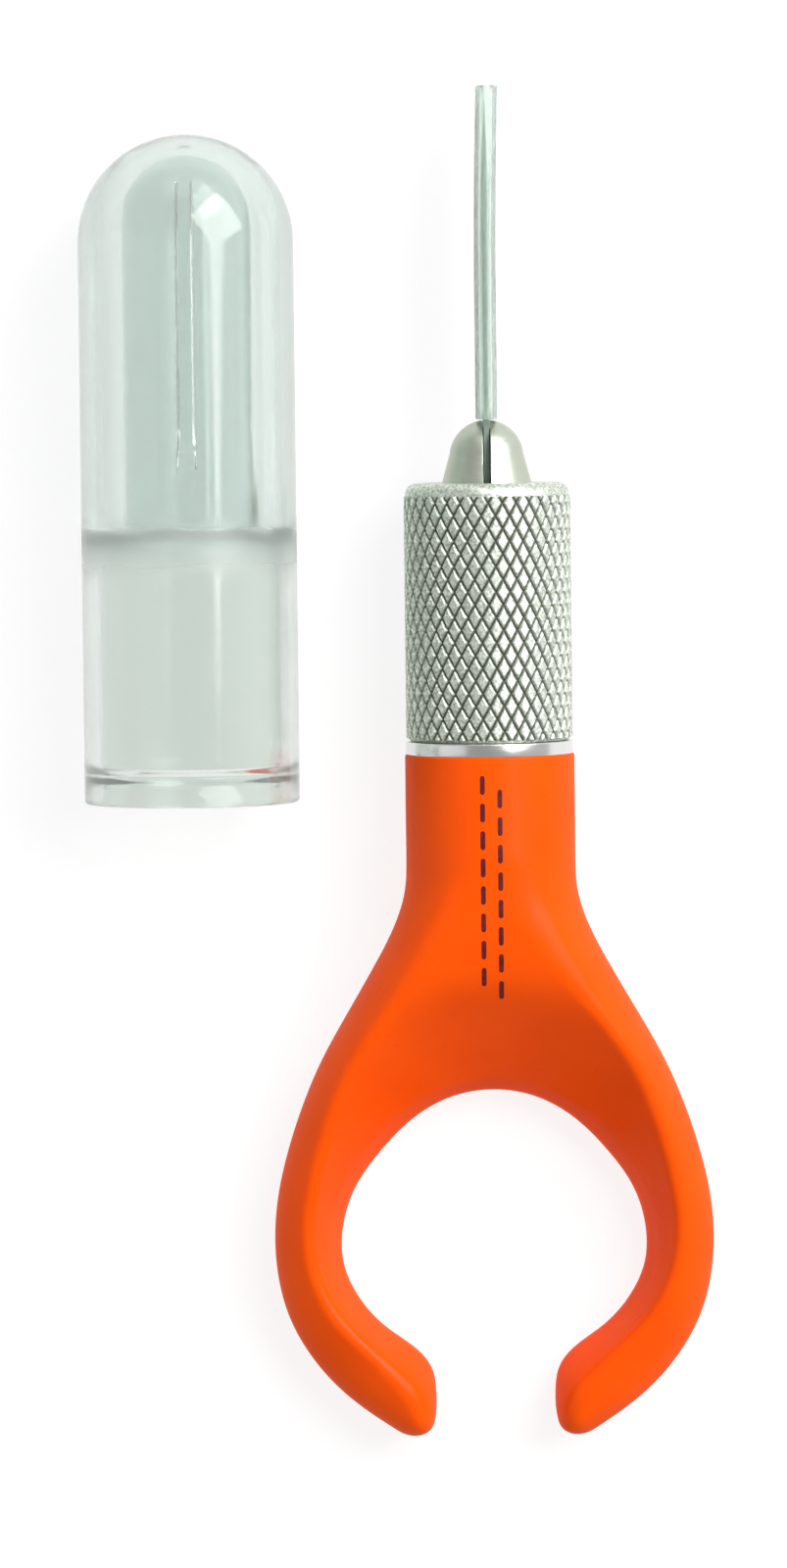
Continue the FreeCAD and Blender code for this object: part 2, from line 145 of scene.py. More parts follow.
def lathe(name, outline, angles, origin=TOOL, closed=False, radius_at=None):
    """Turned piece about the Y axis. radius_at(r, y, angle) may change the radius of a point."""
    points, rings = [], []
    for r, y in outline:
        if r < 1e-6:
            rings.append([len(points)])
            points.append((0, y, 0))
            continue
        ring = []
        for a in angles:
            rr = radius_at(r, y, a) if radius_at else r
            ring.append(len(points))
            points.append((rr * math.cos(a), y, rr * math.sin(a)))
        rings.append(ring)
    pairs = list(zip(rings, rings[1:]))
    if closed:
        pairs.append((rings[-1], rings[0]))
    faces = []
    count = len(angles)
    for low, high in pairs:
        for i in range(count):
            j = (i + 1) % count
            if len(low) == 1 and len(high) == 1:
                continue
            if len(low) == 1:
                faces.append((low[0], high[i], high[j]))
            elif len(high) == 1:
                faces.append((low[i], high[0], low[j]))
            else:
                faces.append((low[i], high[i], high[j], low[j]))
    return new_object(name, points, faces, origin)


class Curve:
    """Natural cubic spline through (x, value) knots."""

    def __init__(self, knots):
        x, y = np.array(sorted(knots), float).T
        n = len(x)
        h = np.diff(x)
        matrix = np.eye(n)
        side = np.zeros(n)
        for i in range(1, n - 1):
            matrix[i, i - 1:i + 2] = h[i - 1], 2 * (h[i - 1] + h[i]), h[i]
            side[i] = 6 * ((y[i + 1] - y[i]) / h[i] - (y[i] - y[i - 1]) / h[i - 1])
        self.x, self.y, self.h = x, y, h
        self.m = np.linalg.solve(matrix, side)

    def __call__(self, at):
        at = np.clip(at, self.x[0], self.x[-1])
        i = np.clip(np.searchsorted(self.x, at) - 1, 0, len(self.h) - 1)
        h = self.h[i]
        a = (self.x[i + 1] - at) / h
        b = 1 - a
        bend = ((a ** 3 - a) * self.m[i] + (b ** 3 - b) * self.m[i + 1]) * h ** 2 / 6
        return a * self.y[i] + b * self.y[i + 1] + bend


# ---- handle
# Everything along the handle is given at places y along the axis, in millimetres.
NECK_R = 6.1
HALF_WIDTH = Curve([
    (2, 6.1), (-2, 6.1), (-5, 6.1), (-8, 6.1), (-9.4, 6.17), (-10.8, 6.45), (-12.3, 6.98), (-15.7, 8.72),
    (-18.8, 10.5), (-22.2, 12.38), (-25.5, 13.8), (-28.9, 14.92), (-32.3, 15.68), (-35.4, 15.9),
    (-38.5, 15.6), (-41.3, 14.75), (-43.7, 13.4), (-45.5, 11.95), (-47.0, 10.35), (-48.3, 8.6),
    (-49.5, 6.75), (-50.6, 4.9), (-51.6, 2.8),
])
WIDEST_Z = Curve([
    (2, 0), (-4, 0), (-8, 0), (-12, -0.35), (-17, -1.1), (-23, -1.9), (-30, -2.4), (-36, -2.6), (-53, -2.7),
])
UNDER_SQUARENESS = Curve([
    (2, 2), (-4, 2), (-8, 2), (-12, 2.15), (-18, 2.7), (-25, 3.3), (-35, 3.7), (-53, 3.6),
])
UPPER_SQUARENESS = Curve([
    (2, 2), (-4, 2), (-8, 2), (-12, 2.05), (-18, 2.1), (-25, 2.2), (-35, 2.2), (-53, 2.1),
])
CREST_X = Curve([
    (2, 1.4), (-7, 1.5), (-9.2, 2.0), (-12.3, 3.7), (-17.4, 6.9), (-21.8, 9.9), (-26.3, 11.8), (-30.7, 12.9),
    (-35.7, 13.25), (-38.5, 12.5), (-41, 11.0), (-44.0, 8.0), (-46.5, 6.0), (-50, 4.6), (-53, 4.0),
])
CREST_Z = Curve([
    (2, 5.94), (-4, 5.94), (-8, 5.88), (-12.3, 5.55), (-17.4, 4.75), (-21.8, 3.8), (-26.3, 2.9), (-30.7, 2.2),
    (-35.7, 1.65), (-41, 1.2), (-44.5, 0.9), (-47.5, 0.5), (-53, -0.6),
])
PAD_FLOOR_Z = Curve([
    (2, 14.0), (-4, 8.6), (-7, 6.75), (-9.2, 6.05), (-12.3, 5.6), (-15.0, 5.05), (-16.6, 4.4), (-18.2, 3.2),
    (-20, 1.6), (-22.2, -0.3), (-24.6, -2.5), (-28, -5.6), (-32, -9.6), (-35.7, -12.0), (-38.5, -11.5),
    (-41, -9.2), (-44, -5.0), (-47, -1.8), (-50, -0.8), (-53, -1.0),
])
OPENING = [                       # right half of the finger opening's outline, seen from above
    (0.0, -24.6), (3.0, -25.1), (5.8, -26.65), (8.3, -29.15), (10.1, -31.75), (11.0, -34.7),
    (10.95, -37.2), (10.0, -39.5), (7.8, -42.0), (5.6, -43.65), (4.6, -45.0), (4.34, -46.4),
    (4.4, -48.2), (4.9, -49.6), (6.1, -50.9), (8.6, -52.3), (11.0, -53.4),
]
CREST_ROUND = 0.8
EDGE_ROUND = 1.2
UNDER_ROUND = 1.6
TIP_ROUND = 1.9                   # the arms' blunt ends
TIP_FROM_Y = -44                  # the edges start to grow to that roundness here
TIP_BLEND = 3
TIP_THINNING = 0.25               # the underside rises this much towards the ends
UNDER_FROM_Z = -4.4               # below this height the edges are as round as the underside's
UNDER_BLEND = 2.4
GRID_LOW = (-16.6, -50.53, -6.9)  # the grid that the handle's surface is sampled on
GRID_HIGH = (16.6, 0.9, 6.9)
GRID_STEP = 0.33
SKIN_CUT_Y = -0.2                 # the surface is cut square here and closed with turned rings
MOST_REACH = 0.97                 # of the half width, how far out the crest line may lie
FIELD_STEP = 0.02                 # for the field's slope, by small differences
SETTLE_PULL = 0.6                 # share of the way a point moves towards its neighbours' mean
MOST_SETTLE = 0.3                 # furthest that one step moves a point back to the surface
SEARCH_TOP_Z = 7.0
SEARCH_STEP = 0.01


def smooth_outline(points, per_span):
    """Closely spaced points on a spline through the given ones, mirrored about its first point."""
    pts = np.array(points, float)
    mirrored = np.array([[-x, y] for x, y in points[:0:-1]])
    whole = np.vstack([mirrored, pts])
    chord = np.concatenate([[0], np.cumsum(np.linalg.norm(np.diff(whole, axis=0), axis=1))])
    start = chord[len(points) - 1]
    x_curve = Curve(list(zip(chord, whole[:, 0])))
    y_curve = Curve(list(zip(chord, whole[:, 1])))
    t = np.linspace(start, chord[-1], per_span * len(points))
    return np.column_stack([x_curve(t), y_curve(t)])


def opening_distance(x, y, contour):
    """Distance from the finger opening's wall, seen from above, negative inside the opening."""
    x = np.abs(x)
    best = np.full(x.shape, np.inf)
    inside = np.zeros(x.shape, bool)
    closed = np.vstack([contour, [[0, contour[-1, 1]]]])
    for k, (a, b) in enumerate(zip(closed, np.roll(closed, -1, axis=0))):
        dx, dy = b - a
        crosses = (a[1] > y) != (b[1] > y)
        if abs(dy) > 1e-12:
            inside ^= crosses & (x < a[0] + (y - a[1]) * dx / dy)
        if k >= len(contour) - 1:
            continue
        t = np.clip(((x - a[0]) * dx + (y - a[1]) * dy) / (dx * dx + dy * dy), 0, 1)
        best = np.minimum(best, np.hypot(x - a[0] - t * dx, y - a[1] - t * dy))
    return np.where(inside, -best, best)


def round_max(a, b, r):
    """Intersection of two solids given by their distances, with the edge between them rounded."""
    return np.minimum(np.maximum(a, b), -r) + np.hypot(np.maximum(a + r, 0), np.maximum(b + r, 0))


def hull_field(x, y, z):
    """Distance-like field of the handle's outside: superellipse sections along the axis."""
    w, zm, crest_x, crest_z = HALF_WIDTH(y), WIDEST_Z(y), CREST_X(y), CREST_Z(y)
    n_up, n_low = UPPER_SQUARENESS(y), UNDER_SQUARENESS(y)
    reach = np.clip(crest_x / w, 0, MOST_REACH)
    height = (crest_z - zm) / (1 - reach ** n_up) ** (1 / n_up)
    upper = z > zm
    h = np.where(upper, height, zm + NECK_R - TIP_THINNING * np.clip((-45 - y) / 5, 0, 1))
    n = np.where(upper, n_up, n_low)
    rho = ((np.abs(x) / w) ** n + (np.abs(z - zm) / h) ** n) ** (1 / n)
    return (rho - 1) * w


def pad_field(x, y, z):
    """Height above the dished finger pad, a trough that steepens down the arms."""
    floor, crest_x, crest_z = PAD_FLOOR_Z(y), CREST_X(y), CREST_Z(y)
    return z - floor - np.maximum(crest_z - floor, 0) * (x / crest_x) ** 2


def unit_slope(field, x, y, z):
    """A field divided by its slope, so that it measures distance near its surface."""
    e = FIELD_STEP
    value = field(x, y, z)
    gx = (field(x + e, y, z) - field(x - e, y, z)) / (2 * e)
    gy = (field(x, y + e, z) - field(x, y - e, z)) / (2 * e)
    gz = (field(x, y, z + e) - field(x, y, z - e)) / (2 * e)
    return value / np.sqrt(gx ** 2 + gy ** 2 + gz ** 2 + 1e-9)


def handle_field(x, y, z, opening):
    hull = unit_slope(hull_field, x, y, z)
    pad = unit_slope(pad_field, x, y, z)
    at_tip = np.clip((TIP_FROM_Y - y) / TIP_BLEND, 0, 1)
    top = round_max(hull, pad, CREST_ROUND)
    upper = round_max(top, -opening, EDGE_ROUND + (TIP_ROUND - EDGE_ROUND) * at_tip)
    lower = round_max(hull, -opening, UNDER_ROUND + (TIP_ROUND - UNDER_ROUND) * at_tip)
    share = np.clip((z - UNDER_FROM_Z) / UNDER_BLEND, 0, 1)
    share = share * share * (3 - 2 * share)
    return lower * (1 - share) + upper * share


def surface_nets(field, low, step):
    """Quad mesh of the zero surface of a field sampled on a grid: one point in every cell that it crosses."""
    inside = field < 0
    corners = [(i, j, k) for i in (0, 1) for j in (0, 1) for k in (0, 1)]
    shape = tuple(s - 1 for s in field.shape)

    def shifted(array, c):
        return array[c[0]:c[0] + shape[0], c[1]:c[1] + shape[1], c[2]:c[2] + shape[2]]

    total = sum(shifted(inside, c).astype(int) for c in corners)
    active = (total > 0) & (total < 8)
    cells = np.argwhere(active)
    number = np.full(shape, -1)
    number[active] = np.arange(len(cells))
    weight = np.zeros(len(cells))
    place = np.zeros((len(cells), 3))
    for axis in range(3):
        for c in corners:
            if c[axis]:
                continue
            d = list(c)
            d[axis] = 1
            fa = shifted(field, c)[active]
            fb = shifted(field, d)[active]
            cross = (fa < 0) != (fb < 0)
            t = np.where(cross, fa / np.where(fa == fb, 1, fa - fb), 0)
            point = np.array(c, float)[None, :].repeat(len(cells), 0)
            point[:, axis] += t
            place[cross] += point[cross]
            weight += cross
    points = (cells + place / weight[:, None]) * step + low
    faces = []
    for axis in range(3):
        u, v = (axis + 1) % 3, (axis + 2) % 3
        ahead = [slice(None)] * 3
        behind = [slice(None)] * 3
        ahead[axis] = slice(1, None)
        behind[axis] = slice(None, -1)
        first, second = inside[tuple(behind)], inside[tuple(ahead)]
        for cell in np.argwhere(first != second):
            if cell[u] == 0 or cell[v] == 0:
                continue
            quad = []
            for du, dv in ((0, 0), (1, 0), (1, 1), (0, 1)):
                c = cell.copy()
                c[u] -= du
                c[v] -= dv
                quad.append(int(number[tuple(c)]) if (c < shape).all() else -1)
            if min(quad) < 0:
                continue
            faces.append(quad if first[tuple(cell)] else quad[::-1])
    return points, faces


def settle(points, faces, field_at, rounds):
    """Evens out a mesh along its surface and puts every point exactly on the field's zero."""
    edges = np.array([(f[k], f[(k + 1) % 4]) for f in faces for k in range(4)])
    count = np.bincount(edges[:, 0], minlength=len(points))
    for _ in range(rounds):
        near = np.zeros_like(points)
        for axis in range(3):
            near[:, axis] = np.bincount(edges[:, 0], points[edges[:, 1], axis], len(points))
        points = points * (1 - SETTLE_PULL) + near / count[:, None] * SETTLE_PULL
        for _ in range(2):
            value = field_at(points)
            slope = np.zeros_like(points)
            for axis in range(3):
                moved = points.copy()
                moved[:, axis] += FIELD_STEP
                slope[:, axis] = (field_at(moved) - value) / FIELD_STEP
            size = (slope ** 2).sum(1) + 1e-6
            points = points - slope * np.clip(value / size, -MOST_SETTLE, MOST_SETTLE)[:, None]
    return points


def handle_mesh(step, rounds):
    """Points and faces of the handle's outside, open at the neck's front."""
    contour = smooth_outline(OPENING, 12)
    low = np.array(GRID_LOW)
    high = np.array(GRID_HIGH)
    axes = [np.arange(low[k], high[k] + step, step) for k in range(3)]
    flat_x, flat_y = np.meshgrid(axes[0], axes[1], indexing="ij")
    flat = opening_distance(flat_x, flat_y, contour)
    x, y, z = np.meshgrid(*axes, indexing="ij")
    field = handle_field(x, y, z, flat[:, :, None])
    points, faces = surface_nets(field, low, step)

    def field_at(p):
        return handle_field(p[:, 0], p[:, 1], p[:, 2], opening_distance(p[:, 0], p[:, 1], contour))

    return settle(points, faces, field_at, rounds), faces


def cut_flat(obj, y, keep_below):
    """Cuts a mesh square to the axis and drops one side, leaving the cut open."""
    bm = bmesh.new()
    bm.from_mesh(obj.data)
    plane = Vector((0, TOOL.y + y * MM, 0))
    bmesh.ops.bisect_plane(
        bm, geom=bm.verts[:] + bm.edges[:] + bm.faces[:], dist=1e-9, plane_co=plane,
        plane_no=(0, 1, 0), clear_outer=keep_below, clear_inner=not keep_below,
    )
    bm.to_mesh(obj.data)
    bm.free()


def extend_rim(bm, y, outline, cap=False):
    """Draws the open round rim at y on through (radius, y) rings, and closes the last one if asked."""
    level = TOOL.y + y * MM
    rim = [e for e in bm.edges if e.is_boundary and all(abs(v.co.y - level) < 2e-6 for v in e.verts)]
    for r, ring_y in outline:
        new = bmesh.ops.extrude_edge_only(bm, edges=rim)["geom"]
        for v in [g for g in new if isinstance(g, bmesh.types.BMVert)]:
            out = Vector((v.co.x - TOOL.x, 0, v.co.z - TOOL.z)).normalized()
            v.co = Vector((TOOL.x, TOOL.y + ring_y * MM, TOOL.z)) + out * r * MM
        rim = [g for g in new if isinstance(g, bmesh.types.BMEdge) and g.is_boundary]
    if cap:
        bmesh.ops.holes_fill(bm, edges=rim, sides=0)
    return rim


def handle_skin(material):
    step, rounds = ((GRID_STEP, 5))
    points, faces = handle_mesh(step, rounds)
    obj = new_object("handle_skin", points, faces)
    cut_flat(obj, SKIN_CUT_Y, True)
    bm = bmesh.new()
    bm.from_mesh(obj.data)
    face_rings = [(NECK_R, -0.14), (NECK_R - 0.03, -0.05), (NECK_R - 0.1, 0.0)]
    face_rings += [(5.6, 0.0), (4.98, 0.0), (4.92, -0.6)]
    extend_rim(bm, SKIN_CUT_Y, face_rings, cap=True)
    bm.to_mesh(obj.data)
    bm.free()
    return finish_mesh(obj, 50, material)


def surface_height(x, y):
    """Upper side of the handle over a point, by walking down a vertical line."""
    contour = smooth_outline(OPENING, 12)
    z = np.arange(SEARCH_TOP_Z, 0.0, -SEARCH_STEP)
    flat = opening_distance(np.array([x]), np.array([y]), contour)[0]
    field = handle_field(np.full_like(z, x), np.full_like(z, y), z, flat)
    below = np.argmax(field < 0)
    share = field[below - 1] / (field[below - 1] - field[below])
    return z[below - 1] - SEARCH_STEP * share


STITCH_LENGTH = 1.35
STITCH_GAP = 0.62
STITCH_WIDTH = 0.34
STITCH_ROW_X = (-0.62, 0.62)
STITCH_FROM_Y = -1.3
STITCH_COUNT = 8
STITCH_COLUMNS = 14
STITCH_END_HALF = 0.02            # half width at a dash's very end
INK_PROUD = 0.012
INK_DEEP = 0.05


def printed_stitches(material):
    """Plain running-stitch marks printed along the neck: thin dashes that follow its surface."""
    points, faces = [], []
    for row, row_x in enumerate(STITCH_ROW_X):
        for n in range(STITCH_COUNT):
            y0 = STITCH_FROM_Y - n * (STITCH_LENGTH + STITCH_GAP) - row * (STITCH_LENGTH + STITCH_GAP) / 2
            columns, half = STITCH_COLUMNS, STITCH_WIDTH / 2
            grid = []
            for i in range(columns + 1):
                t = (1 - math.cos(math.pi * i / columns)) / 2
                y = y0 - STITCH_LENGTH * t
                end = min(t, 1 - t) * STITCH_LENGTH
                rounding = max(half ** 2 - (half - end) ** 2, STITCH_END_HALF ** 2)
                w = half if end >= half else math.sqrt(rounding)
                grid.append([(row_x + w * s, y) for s in (-1, 0, 1)])
            base = len(points)
            for lift in (INK_PROUD, -INK_DEEP):
                for line in grid:
                    for x, y in line:
                        points.append((x, y, surface_height(x, y) + lift))
            layer = 3 * (columns + 1)
            for i in range(columns):
                for s in range(2):
                    a = base + i * 3 + s
                    faces.append((a, a + 1, a + 4, a + 3))
                    b = a + layer
                    faces.append((b, b + 3, b + 4, b + 1))
                for s, flip in ((0, True), (2, False)):
                    a = base + i * 3 + s
                    side = (a, a + 3, a + 3 + layer, a + layer)
                    faces.append(side if flip else side[::-1])
            for i, flip in ((0, False), (columns, True)):
                for s in range(2):
                    a = base + i * 3 + s
                    side = (a, a + 1, a + 1 + layer, a + layer)
                    faces.append(side[::-1] if flip else side)
    obj = new_object("neck_print", points, faces)
    return finish_mesh(obj, 40, material)


# ---- metal pieces
KNURL_STARTS = 36
KNURL_LEAN = math.radians(30)
KNURL_DEPTH = 0.21
GROOVE_HALF = 0.15                # half of a groove, as a share of the knurl's pitch
LIP = 0.05                        # rounding beside a groove, as a share of the pitch
LIP_DEPTH = 0.028
RIM_LENGTH = 0.95                 # plain turned rim in front of the knurl
RIM_STEP = 0.12
RIM_ROUND = 0.8
REAR_RIM_LENGTH = 0.22
BORE_GAP = 0.05                   # between the collar's bore and the stud's crests
SEAT_Y = 15.5                     # where the collar's inner cone meets its bore and the jaws' cone starts


def knurled_collar(material):
    """Clamping nut with a real diamond knurl: a mesh whose lines run along both sets of grooves."""
    rear, front = along("knurled_collar")
    big_r = radius_of("knurled_collar")
    pitch = TAU * big_r / KNURL_STARTS
    breaks = [0, GROOVE_HALF, GROOVE_HALF + LIP, 0.5, 1 - GROOVE_HALF - LIP, 1 - GROOVE_HALF]
    per_cell = len(breaks)
    around = KNURL_STARTS * per_cell

    def line(i):
        return i // per_cell + breaks[i % per_cell]

    def groove(a):
        off = abs(a - round(a))
        if off >= GROOVE_HALF + LIP:
            return 0.0
        if off >= GROOVE_HALF:
            return LIP_DEPTH * (GROOVE_HALF + LIP - off) / LIP
        return LIP_DEPTH + (KNURL_DEPTH - LIP_DEPTH) * (1 - off / GROOVE_HALF)

    y_per_unit = pitch / (2 * math.tan(KNURL_LEAN))
    margin = per_cell * 2
    k_low = math.floor((rear - 0.6) / y_per_unit * per_cell) - margin
    k_high = math.ceil((front + 0.2) / y_per_unit * per_cell) + margin
    rows = k_high - k_low + 1
    points, depth_at = [], []
    for i in range(around):
        a = line(i)
        for k in range(k_low, k_high + 1):
            b = line(i + k)
            y = (b - a) * y_per_unit
            depth = max(groove(a), groove(b))
            r = big_r - depth
            turn = (a + b) / 2 * pitch / big_r
            points.append((r * math.cos(turn), y, r * math.sin(turn)))
            depth_at.append(depth / KNURL_DEPTH)
    faces = []
    for i in range(around):
        j = (i + 1) % around
        for k in range(1, rows - 1):
            faces.append((i * rows + k, j * rows + k - 1, j * rows + k, i * rows + k + 1))
    obj = new_object("collar_knurled", points, faces)
    # groove depth per point: the collar's material dulls the grooves by it and paints shade into them
    groove_dull_and_shade = obj.data.attributes.new("groove", "FLOAT", "POINT")
    groove_dull_and_shade.data.foreach_set("value", np.array(depth_at, np.float32))
    cut_front = front - RIM_LENGTH
    cut_rear = rear + REAR_RIM_LENGTH
    cut_flat(obj, cut_front, True)
    cut_flat(obj, cut_rear, False)
    bore_r = radius_of("threaded_ferrule") + BORE_GAP
    rim_r = big_r - RIM_STEP
    front_rings = [(rim_r, cut_front + 0.05)]
    front_rings += arc(rim_r - RIM_ROUND, front - RIM_ROUND, RIM_ROUND, 0, 90, 10)
    front_rings += [(3.42, front), (3.34, front - 0.03), (3.30, front - 0.1), (4.38, SEAT_Y)]
    front_rings += [(bore_r, SEAT_Y), (bore_r, rear + 0.4)]
    rear_rings = [(big_r - 0.2, rear + 0.14), (big_r - 0.32, rear), (bore_r + 0.5, rear)]
    bm = bmesh.new()
    bm.from_mesh(obj.data)
    inner_rim = extend_rim(bm, cut_front, front_rings)
    outer_rim = extend_rim(bm, cut_rear, rear_rings)
    bmesh.ops.bridge_loops(bm, edges=inner_rim + outer_rim)
    groove_depth = bm.verts.layers.float["groove"]
    for v in bm.verts:
        y = (v.co.y - TOOL.y) / MM
        turned = math.hypot(v.co.x - TOOL.x, v.co.z - TOOL.z) / MM < big_r - KNURL_DEPTH - 0.02
        if turned or not cut_rear - 0.01 < y < cut_front + 0.01:
            v[groove_depth] = 0
    bm.to_mesh(obj.data)
    bm.free()
    return finish_mesh(obj, 32, material)


def trim_ring(material):
    """Polished plain ring between the neck and the collar."""
    rear, front = along("trim_ring")
    r = radius_of("trim_ring")
    inner = radius_of("threaded_ferrule") + 0.02
    corners = [
        (inner, rear, 0), (r, rear, 0.07), (r, front, 0.1), (inner, front, 0.05), (inner, rear, 0),
    ]
    outline = rounded(corners, 4)[:-1]
    return finish_mesh(lathe("trim_ring_polished", outline, even_angles(160), closed=True), 60, material)


THREAD_PITCH = 0.75
THREAD_DEPTH = 0.4
THREAD_FROM_Y = 1.0
THREAD_RUN_IN = 0.5               # length over which the thread grows to its full depth
THREAD_FLANK = 1.15               # steepness of its flanks
TAIL_R = 3.6
TAIL_GROOVE_R = 3.15
STUD_BORE_R = 2.9
STUD_BORE_END_Y = -10.5


def threaded_stud(material):
    """Stud in the neck: grooved tail, then a real helical thread up to a mouth with the collet's seat."""
    rear, front = along("threaded_ferrule")
    crest = radius_of("threaded_ferrule")
    outline = [(0, rear), (TAIL_R, rear), (TAIL_R, rear + 2.4), (TAIL_GROOVE_R, rear + 2.4)]
    outline += [(TAIL_GROOVE_R, rear + 3.5), (TAIL_R, rear + 3.5), (TAIL_R, -1.0)]
    outline += [(crest, -1.0), (crest, THREAD_FROM_Y)]
    turns = np.arange(THREAD_FROM_Y + 0.05, front - 0.35, THREAD_PITCH / 8)
    outline += [(crest, y) for y in turns]
    outline += [(crest - 0.4, front), (4.0, front), (STUD_BORE_R, front - 1.9)]
    outline += [(STUD_BORE_R, STUD_BORE_END_Y), (0, STUD_BORE_END_Y)]

    def thread(r, y, a):
        if r < crest - 1e-6 or y < THREAD_FROM_Y + 0.02:
            return r
        phase = (y / THREAD_PITCH - a / TAU) % 1
        cut = abs(phase - 0.5) * 2
        fade = min((y - THREAD_FROM_Y) / THREAD_RUN_IN, 1)
        return r - THREAD_DEPTH * fade * max(0, 1 - cut * THREAD_FLANK)

    return finish_mesh(lathe("stud_threaded", outline, even_angles(96), radius_at=thread), 35, material)


JAW_SLOT_HALF = 0.28
JAW_SLOT_END = 1.0
JAW_CONE = (3.22, 19.5, 0.27)     # its radius at a place along the axis, and its slope there
NOSE_DOME_R = 2.66
NOSE_DOME_START = (2.72, 21.35)
SHANK_R = 2.85


def half_jaw(side, outline):
    """One jaw: the turned shape cut along the slot, with its cut face filled."""
    obj = lathe("jaw", outline, even_angles(128))
    bm = bmesh.new()
    bm.from_mesh(obj.data)
    plane = Vector((TOOL.x + side * JAW_SLOT_HALF * MM, 0, 0))
    cut = bmesh.ops.bisect_plane(
        bm, geom=bm.verts[:] + bm.edges[:] + bm.faces[:], dist=1e-9, plane_co=plane,
        plane_no=(side, 0, 0), clear_inner=True,
    )
    rim = [g for g in cut["geom_cut"] if isinstance(g, bmesh.types.BMEdge)]
    bmesh.ops.holes_fill(bm, edges=rim, sides=0)
    bm.to_mesh(obj.data)
    bm.free()
    return obj


def paint_faces(obj, mat, chosen):
    """Gives the chosen faces a second material."""
    obj.data.materials.append(mat)
    for face in obj.data.polygons:
        if chosen(face):
            face.material_index = 1


def collet(material, slot_shade_material):
    """Split collet: two jaws with a domed nose, on a solid shank, with painted shade on the slot's faces."""
    rear, nose = along("collet")
    dome_y = nose - NOSE_DOME_R
    dome_turn = math.degrees(math.asin((NOSE_DOME_START[1] - dome_y) / NOSE_DOME_R))
    dome = arc(0, dome_y, NOSE_DOME_R, dome_turn, 90, 18)[1:-1]
    cone_r, cone_y, slope = JAW_CONE
    cone = [(cone_r - slope * (y - cone_y), y) for y in np.linspace(SEAT_Y, NOSE_DOME_START[1], 12)]
    body = [(0, JAW_SLOT_END), (SHANK_R, JAW_SLOT_END), (SHANK_R, 10.6)]
    body += [(3.95, 12.5), (3.95, 12.8), (4.3, 13.2)]
    outline = body + cone + dome + [(0.0, nose)]
    jaws = [half_jaw(side, outline) for side in (1, -1)]
    solid = [(0, rear), (SHANK_R - 0.1, rear), (SHANK_R, rear + 0.1)]
    solid += [(SHANK_R, JAW_SLOT_END), (0, JAW_SLOT_END)]
    shank = lathe("shank", solid, even_angles(64))
    obj = join([jaws[0], jaws[1], shank], "collet_jaws")
    soften(obj, 0.045, 35)
    finish_mesh(obj, 30, material)
    # painted shade: the faces inside the narrow slot get a near-black metal
    wall = (JAW_SLOT_HALF + 0.01) * MM
    paint_faces(obj, slot_shade_material, lambda f: abs(f.normal.x) > 0.95 and abs(f.center.x - TOOL.x) < wall)
    return obj


def join(objects, name):
    """One mesh object from several."""
    points, faces = [], []
    for o in objects:
        base = len(points)
        points += [tuple(v.co) for v in o.data.vertices]
        faces += [tuple(base + i for i in p.vertices) for p in o.data.polygons]
        mesh = o.data
        bpy.data.objects.remove(o)
        bpy.data.meshes.remove(mesh)
    return link_mesh(name, points, faces)


def soften(obj, width_mm, degrees):
    """Small rounded bevel on edges over an angle, applied to the mesh."""
    mod = obj.modifiers.new("soften", "BEVEL")
    mod.width = width_mm * MM
    mod.segments = 2
    mod.limit_method = "ANGLE"
    mod.angle_limit = math.radians(degrees)
    mod.use_clamp_overlap = True
    mod.loop_slide = False
    apply_modifiers(obj)


def apply_modifiers(obj):
    graph = bpy.context.evaluated_depsgraph_get()
    mesh = bpy.data.meshes.new_from_object(obj.evaluated_get(graph), depsgraph=graph)
    obj.modifiers.clear()
    obj.data = mesh


# ---- blade and sleeve
BLADE_HALF_T = 0.25
STEM_HALF = 1.7
LOW_PRONG_END = 41.55
POINT_TAPER = 4.2                 # length over which the steel thins to the point
POINT_HALF_T = 0.04
CUTTING_HALF_T = 0.03
CUTTING_BEVEL = 0.32              # ground width beside the cutting edge
PLAIN_BEVEL = 0.07
POINT_FROM_Y = 44.0               # past here the bevels narrow with the point


def fork_outline():
    """Outline of the blade, (y, z), anticlockwise from the root, and which points cut."""
    root, tip = along("blade")
    low_end = LOW_PRONG_END

    def arc3(a, b, c, steps):
        (ax, ay), (bx, by), (cx, cy) = a, b, c
        d = 2 * (ax * (by - cy) + bx * (cy - ay) + cx * (ay - by))
        aa, bb, cc = ax ** 2 + ay ** 2, bx ** 2 + by ** 2, cx ** 2 + cy ** 2
        ux = (aa * (by - cy) + bb * (cy - ay) + cc * (ay - by)) / d
        uy = (aa * (cx - bx) + bb * (ax - cx) + cc * (bx - ax)) / d
        r = math.hypot(ax - ux, ay - uy)
        t0, t1, t2 = (math.atan2(p[1] - uy, p[0] - ux) for p in (a, b, c))
        first = (t1 - t0 + math.pi) % TAU - math.pi
        second = (t2 - t1 + math.pi) % TAU - math.pi
        turn = first + second
        turns = [t0 + turn * i / steps for i in range(steps + 1)]
        return [(ux + r * math.cos(t), uy + r * math.sin(t)) for t in turns]

    under = [(root, -STEM_HALF), (18, -STEM_HALF)]
    swell = arc3((31.0, -STEM_HALF), (33.4, -2.12), (36.0, -2.3), 8)
    blunt = arc3((low_end - 0.55, -2.35), (low_end, -1.95), (low_end - 0.55, -1.55), 8)
    crotch = arc3((38.4, -1.2), (37.0, -0.45), (38.6, 0.35), 12)
    point = [(tip - 0.1, 0.75), (tip, 0.95)]
    back = arc3((tip, 0.95), (39.6, 2.05), (31.0, STEM_HALF), 14)[1:]
    top = [(18, STEM_HALF), (root, STEM_HALF)]
    outline = under + swell + blunt + crotch + point + back + top
    start = len(under + swell + blunt) - 1
    cutting = set(range(start, start + len(crotch) + 2))
    return outline, cutting


